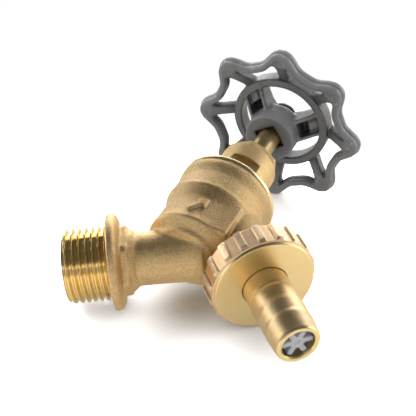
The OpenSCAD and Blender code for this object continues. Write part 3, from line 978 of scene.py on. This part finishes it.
# ---------------------------------------------------------------- materials
def cast_brass():
    mat = Material("cast_brass")
    stem, stem_r, inlet = mat.along(STEM), mat.radius(STEM), mat.along(INLET)
    # machined places: the barrel's rim and the flange face
    rim = mat.math(
        "MULTIPLY", mat.ramp(stem, span=(25.75, 25.95)), mat.ramp(stem_r, span=(14.0, 14.3))
    )
    machined = mat.math("MAXIMUM", rim, mat.ramp(inlet, span=(0.35, 0.2)))
    big = mat.noise(scale=110, rough=0.55)
    middle = mat.noise(scale=620)
    fine = mat.noise(scale=2600, rough=0.65)
    grit = mat.noise(scale=4200, detail=2)
    # brown to gold patches, paler mottling, dark pits, bright grains
    colour = mat.mix(
        mat.ramp(big, span=(0.35, 0.68)), under=(0.80, 0.565, 0.272), over=(0.88, 0.632, 0.315)
    )
    for value, span, to, tone in (
        (middle, (0.35, 0.72), (0.0, 0.8), (0.95, 0.72, 0.395)),
        (fine, (0.34, 0.50), (0.70, 0.0), (0.48, 0.335, 0.16)),
        (grit, (0.60, 0.72), (0.0, 0.5), (0.99, 0.86, 0.62)),
    ):
        colour = mat.mix(mat.ramp(value, span, to), colour, tone)
    # darker and browner from the barrel's foot upward
    colour = mat.mix(
        mat.ramp(stem, span=(0.5, 5.0)), colour, over=(0.80, 0.785, 0.775), mode="MULTIPLY"
    )
    colour = mat.mix(machined, colour, over=(0.93, 0.73, 0.42))
    rough = mat.ramp(middle, span=(0.3, 0.7), to=(0.37, 0.50))
    rough = mat.mix_value(machined, rough, over=0.26)
    # grain height: shares of the fine, grit and middle noises
    grit_height = mat.math("MULTIPLY", grit, 0.35)
    coarser = mat.math("ADD", grit_height, mat.math("MULTIPLY", middle, 0.35))
    grain = mat.math("ADD", mat.math("MULTIPLY", fine, 0.6), coarser)
    strength = mat.mix_value(machined, under=1.0, over=0.05)
    normal = mat.bump(grain, distance=0.00027, strength=strength)
    return mat.finish(Base_Color=colour, Metallic=1.0, Roughness=rough, Normal=normal)


def turned_brass(name, axis, light, dark, rough, line=0.000004, flats=None, end=None):
    """Turned brass with fine tool lines of depth line round an axis. Flats, given as start, stop
    and greatest radius, get a painted darker reflection; from the station end on the face is
    brighter."""
    mat = Material(name)
    along, radius = mat.along(axis), mat.radius(axis)
    # the slant draws lines on faces as well as on cylinders
    slant = mat.math("ADD", along, mat.math("MULTIPLY", radius, 0.83))
    coord = mat.on_line(slant)
    line_pitch = 0.11
    lines = mat.noise(scale=1.0 / line_pitch, detail=2, rough=0.7, coord=coord)
    bands = mat.noise(scale=0.55, detail=2, rough=0.5, coord=coord)
    spots = mat.noise(scale=260)
    colour = mat.mix(mat.ramp(spots, span=(0.35, 0.7)), dark, light)
    shaded = tuple(channel * 0.86 for channel in light)
    colour = mat.mix(mat.ramp(bands, span=(0.3, 0.7), to=(0.0, 0.35)), colour, shaded)
    if flats:
        start, stop, outer = flats
        inside = mat.math(
            "MULTIPLY",
            mat.ramp(along, span=(start, start + 0.05)),
            mat.ramp(along, span=(stop, stop - 0.05)),
        )
        inside = mat.math("MULTIPLY", inside, mat.ramp(radius, span=(outer, outer - 0.06)))
        # painted reflection: the milled flats are darkened to stand in for the darker light they
        # reflect
        colour = mat.mix(mat.math("MULTIPLY", inside, 0.85), colour, over=(0.60, 0.44, 0.19))
    # roughness follows the lines and the spots
    texture = mat.math(
        "ADD", mat.math("MULTIPLY", lines, 0.6), mat.math("MULTIPLY", spots, 0.4)
    )
    rough = mat.ramp(texture, span=(0.3, 0.7), to=rough)
    if end:
        face = (end, end + 0.1)
        colour = mat.mix(mat.ramp(along, face), colour, over=(1.0, 0.80, 0.40))
        rough = mat.mix_value(mat.ramp(along, face), rough, over=0.22)
    normal = mat.bump(lines, distance=line)
    return mat.finish(Base_Color=colour, Metallic=1.0, Roughness=rough, Normal=normal)


def nut_brass():
    """Cast skin with paler rib tops, and a turned gold end face."""
    mat = Material("nut_brass")
    along, radius = mat.along(OUTLET), mat.radius(OUTLET)
    face = mat.ramp(along, span=(35.32, 35.46))
    middle = mat.noise(scale=800)
    fine = mat.noise(scale=2400, detail=2)
    edge = mat.math(
        "MULTIPLY", mat.ramp(radius, span=(14.75, 14.95)), mat.ramp(face, span=(0.5, 0.0))
    )
    cast = mat.mix(
        mat.ramp(middle, span=(0.3, 0.7)), under=(0.85, 0.61, 0.365), over=(0.94, 0.70, 0.44)
    )
    pits = mat.ramp(fine, span=(0.3, 0.45), to=(0.45, 0.0))
    cast = mat.mix(pits, cast, over=(0.50, 0.33, 0.18))
    cast = mat.mix(mat.math("MULTIPLY", edge, 0.55), cast, over=(0.98, 0.82, 0.56))
    patches = mat.ramp(mat.noise(scale=90, detail=2, rough=0.5), span=(0.3, 0.7))
    gold = mat.mix(patches, under=(1.0, 0.76, 0.38), over=(1.0, 0.82, 0.46))
    rough = mat.ramp(middle, span=(0.3, 0.7), to=(0.34, 0.48))
    coord = mat.on_line(mat.math("ADD", radius, along))
    lines = mat.noise(scale=9, detail=2, rough=0.7, coord=coord)
    normal = mat.bump(
        mat.math("ADD", fine, mat.noise(scale=1200)), distance=0.00007,
        strength=mat.mix_value(face, under=1.0, over=0.03),
    )
    normal = mat.bump(
        lines, distance=0.000004, strength=mat.mix_value(face, under=0.0, over=1.0),
        normal=normal,
    )
    return mat.finish(
        Base_Color=mat.mix(face, cast, gold), Metallic=1.0,
        Roughness=mat.mix_value(face, rough, over=0.30), Normal=normal,
    )


def wheel_plastic():
    mat = Material("wheel_plastic")
    big = mat.noise(scale=60)
    fine = mat.noise(scale=1500, rough=0.65)
    scuff = mat.noise(scale=420, detail=4, rough=0.7, distort=0.6)
    edges = mat.node("NewGeometry").outputs["Pointiness"]
    # grey patches, pale scuffs, a painted highlight on sharp edges, painted shade in the hollows
    colour = mat.mix(
        mat.ramp(big, span=(0.3, 0.7)), under=(0.245, 0.247, 0.252), over=(0.315, 0.317, 0.322)
    )
    scuffed = mat.ramp(scuff, span=(0.60, 0.78), to=(0.0, 0.45))
    colour = mat.mix(scuffed, colour, over=(0.40, 0.402, 0.407))
    # painted highlight: the colour is paler where the surface is sharply convex
    painted_edge_highlight = mat.ramp(edges, span=(0.51, 0.58), to=(0.0, 0.7))
    colour = mat.mix(painted_edge_highlight, colour, over=(0.54, 0.542, 0.548))
    # painted shade: ambient occlusion darkens the colour nearly to black in hollows and creases
    shade = mat.node("AmbientOcclusion", settings={"samples": 8}, Distance=0.012)
    opened = mat.ramp(shade.outputs["AO"], span=(0.48, 1.0))
    colour = mat.mix(opened, (0.050, 0.050, 0.052), colour)
    texture = mat.math("ADD", mat.math("MULTIPLY", fine, 0.5), mat.math("MULTIPLY", big, 0.5))
    normal = mat.bump(fine, distance=0.00008, strength=0.9)
    ripple = mat.noise(scale=330, detail=2, rough=0.5)
    normal = mat.bump(ripple, distance=0.00008, strength=0.6, normal=normal)
    return mat.finish(
        Base_Color=colour, Metallic=0.0, Normal=normal, Specular_IOR_Level=0.75,
        Roughness=mat.ramp(texture, span=(0.3, 0.7), to=(0.28, 0.42)),
    )


def chrome():
    mat = Material("chrome_plate")
    spots = mat.noise(scale=500)
    colour = mat.mix(
        mat.ramp(spots, span=(0.35, 0.7)), under=(0.78, 0.79, 0.81), over=(0.90, 0.90, 0.91)
    )
    ripple = mat.noise(scale=260, detail=2, rough=0.5)
    return mat.finish(
        Base_Color=colour, Metallic=1.0,
        Roughness=mat.ramp(spots, span=(0.3, 0.7), to=(0.22, 0.32)),
        Normal=mat.bump(ripple, distance=0.00001, strength=0.5),
    )


def white_plastic():
    mat = Material("white_plastic")
    spots = mat.noise(scale=900)
    patches = mat.ramp(mat.noise(scale=180, detail=2, rough=0.5), span=(0.3, 0.7))
    return mat.finish(
        Base_Color=mat.mix(patches, under=(0.84, 0.85, 0.87), over=(0.92, 0.92, 0.93)),
        Roughness=mat.ramp(spots, span=(0.3, 0.7), to=(0.30, 0.42)),
        Normal=mat.bump(spots, distance=0.00003, strength=0.6),
        Subsurface_Weight=0.12, Subsurface_Radius=(0.0012, 0.001, 0.0009),
        Subsurface_Scale=1.0,
    )


def plain(name, dark, light, rough, metal=0.0, scale=500, bump=0.00003):
    """Two close tones with a fine grain."""
    mat = Material(name)
    spots = mat.noise(scale=scale)
    return mat.finish(
        Base_Color=mat.mix(mat.ramp(spots, span=(0.3, 0.7)), dark, light), Metallic=metal,
        Roughness=mat.ramp(spots, span=(0.3, 0.7), to=rough),
        Normal=mat.bump(spots, distance=bump, strength=0.8),
    )


CAST = cast_brass()
THREAD = turned_brass(
    "thread_brass", INLET, light=(0.97, 0.80, 0.44), dark=(0.92, 0.70, 0.32), rough=(0.13, 0.20)
)
SPINDLE = turned_brass(
    "spindle_brass", STEM, light=(0.96, 0.77, 0.43), dark=(0.90, 0.69, 0.36),
    rough=(0.36, 0.46), line=0.000001,
)
# the bonnet's milled flats carry a painted darker reflection
HEADWORK = turned_brass(
    "bonnet_brass", STEM, light=(0.92, 0.71, 0.38), dark=(0.84, 0.62, 0.31),
    rough=(0.54, 0.64), flats=(29.4, 37.3, 8.96),
)
TAIL_BRASS = turned_brass(
    "tail_brass", OUTLET, light=(0.84, 0.655, 0.385), dark=(0.74, 0.55, 0.29),
    rough=(0.33, 0.44), line=0.000014, end=58.25,
)
NUT_BRASS = nut_brass()
WHEEL = wheel_plastic()
CHROME = chrome()
WHITE = white_plastic()
RUBBER = plain(
    "rubber_black", dark=(0.016, 0.016, 0.016), light=(0.030, 0.030, 0.030),
    rough=(0.6, 0.75), scale=900,
)
FIBRE = plain(
    "red_fibre", dark=(0.30, 0.05, 0.035), light=(0.42, 0.09, 0.06), rough=(0.7, 0.85),
    scale=1200, bump=0.00006,
)
PACKING = plain(
    "packing_white", dark=(0.74, 0.74, 0.71), light=(0.86, 0.86, 0.83), rough=(0.45, 0.6),
    scale=1100, bump=0.00006,
)
SPRING_STEEL = plain(
    "spring_steel", dark=(0.52, 0.52, 0.54), light=(0.66, 0.66, 0.68), rough=(0.22, 0.32),
    metal=1.0,
)

# ---------------------------------------------------------------- assembly
# builder, materials, carrier, CAD piece it replaces, slot
PIECES = (
    (build_body, (CAST, THREAD), "valve", "valve_body", "cast_brass"),
    (build_bonnet, (HEADWORK,), "valve", "bonnet", "turned_brass"),
    (build_gland, (HEADWORK,), "valve", "gland_nut", "turned_brass"),
    (build_stem, (SPINDLE,), "spindle", "stem", "turned_brass"),
    (build_wheel, (WHEEL,), "spindle", "handwheel", "grey_plastic"),
    (build_screw, (CHROME,), "spindle", "handwheel_screw", "chrome_steel"),
    (build_nut, (NUT_BRASS,), "nut", "union_nut", "nut_brass"),
    (build_tail, (TAIL_BRASS,), "tail", "hose_tail", "tail_brass"),
    (build_insert, (WHITE,), "tail", "check_housing", "white_plastic"),
    (build_washer, (CHROME,), "spindle", "handwheel_washer", "chrome_steel"),
    (build_spring, (SPRING_STEEL,), "tail", "check_spring", "spring_steel"),
)
pieces = {}
for build, materials, carrier, replaced, slot in PIECES:
    piece = build()
    for material in materials:
        piece.data.materials.append(material)
    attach(piece, carrier)
    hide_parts(replaced)
    pieces[replaced] = piece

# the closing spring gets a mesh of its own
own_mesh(pieces["check_spring"])

# CAD pieces that stay as they are
KEPT = {
    "bonnet_gasket": FIBRE, "packing_washer": HEADWORK, "gland_packing": PACKING,
    "gland_follower": HEADWORK, "jumper": SPINDLE, "jumper_clip": SPRING_STEEL,
    "seat_washer": RUBBER, "washer_nut": SPINDLE, "tail_gasket": RUBBER,
    "check_oring": RUBBER, "check_poppet": WHITE, "poppet_seal": RUBBER,
}
for name, material in KEPT.items():
    piece = frame["nodes"][name]
    if len(piece.material_slots) == 0:
        piece.data.materials.append(material)
    for material_slot in piece.material_slots:
        material_slot.link = "OBJECT"
        material_slot.material = material

# ---------------------------------------------------------------- resting plane and camera
# From here on lengths are in metres.
FLOOR_GAP = 0.00002
CAMERA_TURN = np.array([0.6793007518, -0.0422968840, -0.0997893304])  # axis times radians
CAMERA_SHIFT = np.array([-26.854761692, 15.081307318, 241.355640950]) * MM


def vertices_of(ob):
    flat = np.empty(len(ob.data.vertices) * 3, np.float32)
    ob.data.vertices.foreach_get("co", flat)
    return flat.reshape(-1, 3).astype(float)


def resting_plane():
    """Up direction and level of the plane that touches flange, union nut and handwheel."""
    body = vertices_of(pieces["valve_body"])
    flange = body[(body[:, 0] < 0.004) & (body[:, 0] > -0.0001)]
    feet = [flange, vertices_of(pieces["union_nut"]), vertices_of(pieces["handwheel"])]
    up = np.array([0.0, -1.0, 0.0])
    for _ in range(12):
        first, second, third = (foot[np.argmin(foot @ up)] for foot in feet)
        normal = np.cross(second - first, third - first)
        normal /= np.linalg.norm(normal)
        up = normal if normal[1] < 0 else -normal
    return up, min(float((foot @ up).min()) for foot in feet) - FLOOR_GAP


def rotation(turn):
    """Matrix of a rotation vector."""
    angle = np.linalg.norm(turn)
    x, y, z = turn / angle
    cross = np.array([[0, -z, y], [z, 0, -x], [-y, x, 0]])
    return np.eye(3) + math.sin(angle) * cross + (1 - math.cos(angle)) * cross @ cross


up, level = resting_plane()
# rows: the camera's right, down and forward
view = rotation(CAMERA_TURN)
eye = -view.T @ CAMERA_SHIFT


def build_camera():
    data = bpy.data.cameras.new("camera")
    ob = bpy.data.objects.new("camera", data)
    bpy.context.scene.collection.objects.link(ob)
    data.sensor_width = 36.0
    data.lens = 74.9423077
    data.clip_start, data.clip_end = 0.01, 20.0
    pose = np.eye(4)
    pose[:3] = np.column_stack([view[0], -view[1], -view[2], eye])
    ob.matrix_world = Matrix(pose.tolist())
    bpy.context.scene.camera = ob


build_camera()

# floor directions: right as the camera sees it, and away from the camera
right = view[0] - (view[0] @ up) * up
right /= np.linalg.norm(right)
away = np.cross(up, right)
REST_CENTRE = np.array([0.022, 0.0, 0.010])
foot = REST_CENTRE + (level - REST_CENTRE @ up) * up

# ---------------------------------------------------------------- floor
FLOOR_HALF = 1.6
FLOOR_SEEN = (2.0, 2.02, 2.04)
# the lift is an even warm glow on the floor the camera sees: painted light standing in for light
# thrown off the brass into the shadows
FLOOR_LIFT = (0.11, 0.065, 0.02)
FLOOR_MIRRORED = (0.62, 0.60, 0.56)
FLOOR_GLOW = (0.34, 0.30, 0.245)
FLOOR_BOUNCE = 0.36
WHITE_LEVEL = 1.02  # of the paper behind everything
PURE_WHITE = (1.0, 1.0, 1.0)
# Painted light and shadow on the floor, one spot a row: sight line slopes right and down, inner
# and outer radius, gain in the middle.
# Painted lighter patches at the left and in front, a painted shadow in the corner between pipe
# and nut.
FLOOR_PAINTED_LIGHT_AND_SHADOW = (
    ((-0.11547344, 0.11200924), (0.006, 0.024), (1.55, 1.52, 1.50)),
    ((0.04157044, 0.16628176), (0.004, 0.022), (1.32, 1.30, 1.28)),
    ((-0.01847575, 0.11085450), (0.001, 0.019), (0.44, 0.405, 0.365)),
)


def on_floor(slope_right, slope_down):
    """The floor point on a sight line that leaves the camera with these slopes."""
    aim = view.T @ np.array([slope_right, slope_down, 1.0])
    return eye + aim * ((level - eye @ up) / (aim @ up))


def floor_material():
    material = bpy.data.materials.new("floor_white")
    graph = Graph(material)
    output = graph.node("OutputMaterial")
    geometry, path = graph.node("NewGeometry"), graph.node("LightPath")
    position = geometry.outputs["Position"]
    # what the camera sees: a bright sheet with warm contact shadows, painted lighter patches, a
    # painted shadow and an even warm glow standing in for light thrown off the brass, running
    # into white
    colour = FLOOR_SEEN
    # painted light and shadow: each spot multiplies the sheet's colour
    for slopes, span, gain in FLOOR_PAINTED_LIGHT_AND_SHADOW:
        distance = graph.vector("DISTANCE", position, tuple(on_floor(*slopes)))
        tone = graph.mix(graph.ramp(distance, span), under=gain, over=PURE_WHITE)
        colour = graph.mix(1.0, colour, tone, mode="MULTIPLY")
    sheet = graph.shader("BsdfDiffuse", Color=colour)
    # painted light: an even warm glow standing in for light bounced off the brass
    lift = graph.shader("Emission", Color=FLOOR_LIFT, Strength=1.0)
    sheet = graph.shader("AddShader", sheet, lift)
    far = graph.ramp(graph.vector("DISTANCE", position, tuple(foot)), span=(0.065, 0.13))
    white = graph.shader("Emission", Color=PURE_WHITE, Strength=WHITE_LEVEL)
    seen = graph.shader("MixShader", far, sheet, white)
    # what the brass reflects: a paler, warmer sheet; dull parts get a weaker bounce
    mirrored = graph.shader("BsdfDiffuse", Color=FLOOR_MIRRORED)
    glow = graph.shader("Emission", Color=FLOOR_GLOW, Strength=1.0)
    mirrored = graph.shader("AddShader", mirrored, glow)
    bounce = graph.shader("Emission", Color=PURE_WHITE, Strength=FLOOR_BOUNCE)
    lit = graph.shader("MixShader", path.outputs["Is Diffuse Ray"], mirrored, bounce)
    top = graph.shader("MixShader", path.outputs["Is Camera Ray"], lit, seen)
    # from below the sheet isn't there
    clear = graph.shader("BsdfTransparent")
    both = graph.shader("MixShader", geometry.outputs["Backfacing"], top, clear)
    graph.put(output.inputs[0], both)
    material.cycles.emission_sampling = "NONE"
    return material


def build_floor():
    mesh = bpy.data.meshes.new("floor")
    corners = [
        tuple(foot + right * x * FLOOR_HALF + away * y * FLOOR_HALF)
        for x, y in ((-1, -1), (1, -1), (1, 1), (-1, 1))
    ]
    mesh.from_pydata(corners, [], [(0, 1, 2, 3)])
    ob = bpy.data.objects.new("floor", mesh)
    bpy.context.scene.collection.objects.link(ob)
    mesh.materials.append(floor_material())
    ob.visible_shadow = False


build_floor()

# ---------------------------------------------------------------- studio
# The studio is painted on the world: soft boxes low on the left, right and back, a dark
# ceiling, and a narrow strip high on the camera's side.
# Degrees: azimuth from away towards right, elevation, half width, half height, soft edge;
# then brightness.
SOFT_BOXES = (
    ((8, 17, 27, 20, 3), 2.9),
    ((70, 14, 20, 20, 3), 2.2),
    ((-67, 12, 17, 16, 3), 2.2),
    ((180, 28, 50, 4, 2.5), 0.9),
)
DULL_BOX = ((-8, 38, 46, 20, 8), 2.7)
BOX_TINT = (1.0, 0.985, 0.965)


def elevation_span(low, high):
    """Sines of two elevations in degrees."""
    return math.sin(math.radians(low)), math.sin(math.radians(high))


def soft_box(graph, ray, azimuth, elevation, half_width, half_height, edge):
    """A soft-edged rectangle of light: 1 inside, 0 outside."""
    azimuth, elevation = math.radians(azimuth), math.radians(elevation)
    level_part = math.cos(azimuth) * away + math.sin(azimuth) * right
    centre = math.cos(elevation) * level_part + math.sin(elevation) * up
    side = np.cross(up, centre)
    side /= np.linalg.norm(side)
    front = graph.vector("DOT_PRODUCT", ray, tuple(centre))
    near = graph.math("MAXIMUM", front, 0.02)
    inside = []
    for direction, half in ((side, half_width), (np.cross(centre, side), half_height)):
        slope = graph.math("DIVIDE", graph.vector("DOT_PRODUCT", ray, tuple(direction)), near)
        span = (math.tan(math.radians(half - edge)), math.tan(math.radians(half + edge)))
        inside.append(graph.ramp(graph.math("ABSOLUTE", slope), span, to=(1.0, 0.0)))
    both = graph.math("MULTIPLY", *inside)
    return graph.math("MULTIPLY", both, graph.ramp(front, span=(0.02, 0.1)))


def build_world():
    world = bpy.data.worlds.new("studio")
    bpy.context.scene.world = world
    graph = Graph(world)
    ray = graph.node("TexCoord").outputs["Generated"]
    height = graph.vector("DOT_PRODUCT", ray, tuple(up))
    depth = graph.vector("DOT_PRODUCT", ray, tuple(away))
    total = graph.ramp(height, span=elevation_span(8, 50), to=(0.42, 0.10))
    # gain from the camera's side to the back, even at present
    total = graph.math("MULTIPLY", total, graph.ramp(depth, span=(-0.9, 0.1), to=(1.0, 1.0)))
    for box, gain in SOFT_BOXES:
        light = graph.math("MULTIPLY", soft_box(graph, ray, *box), gain)
        total = graph.math("ADD", total, light)
    boxes = graph.shader("Background", Color=BOX_TINT, Strength=total)
    # dull parts see a plainer sky: a broad light high at the back and a weaker dome
    dome = graph.ramp(height, span=elevation_span(5, 70), to=(0.66, 0.62))
    box, gain = DULL_BOX
    dome = graph.math("ADD", dome, graph.math("MULTIPLY", soft_box(graph, ray, *box), gain))
    sky = graph.shader("Background", Color=PURE_WHITE, Strength=dome)
    paper = graph.shader("Background", Color=PURE_WHITE, Strength=WHITE_LEVEL)
    path = graph.node("LightPath")
    lit = graph.shader("MixShader", path.outputs["Is Diffuse Ray"], boxes, sky)
    both = graph.shader("MixShader", path.outputs["Is Camera Ray"], lit, paper)
    graph.node("OutputWorld", both)
    world.cycles.sampling_method = "NONE"


build_world()

scene = bpy.context.scene
scene.view_settings.view_transform = "Standard"
scene.view_settings.look = "None"
scene.view_settings.exposure = 0.0
scene.cycles.max_bounces = 8
scene.cycles.caustics_reflective = False
scene.cycles.use_denoising = True
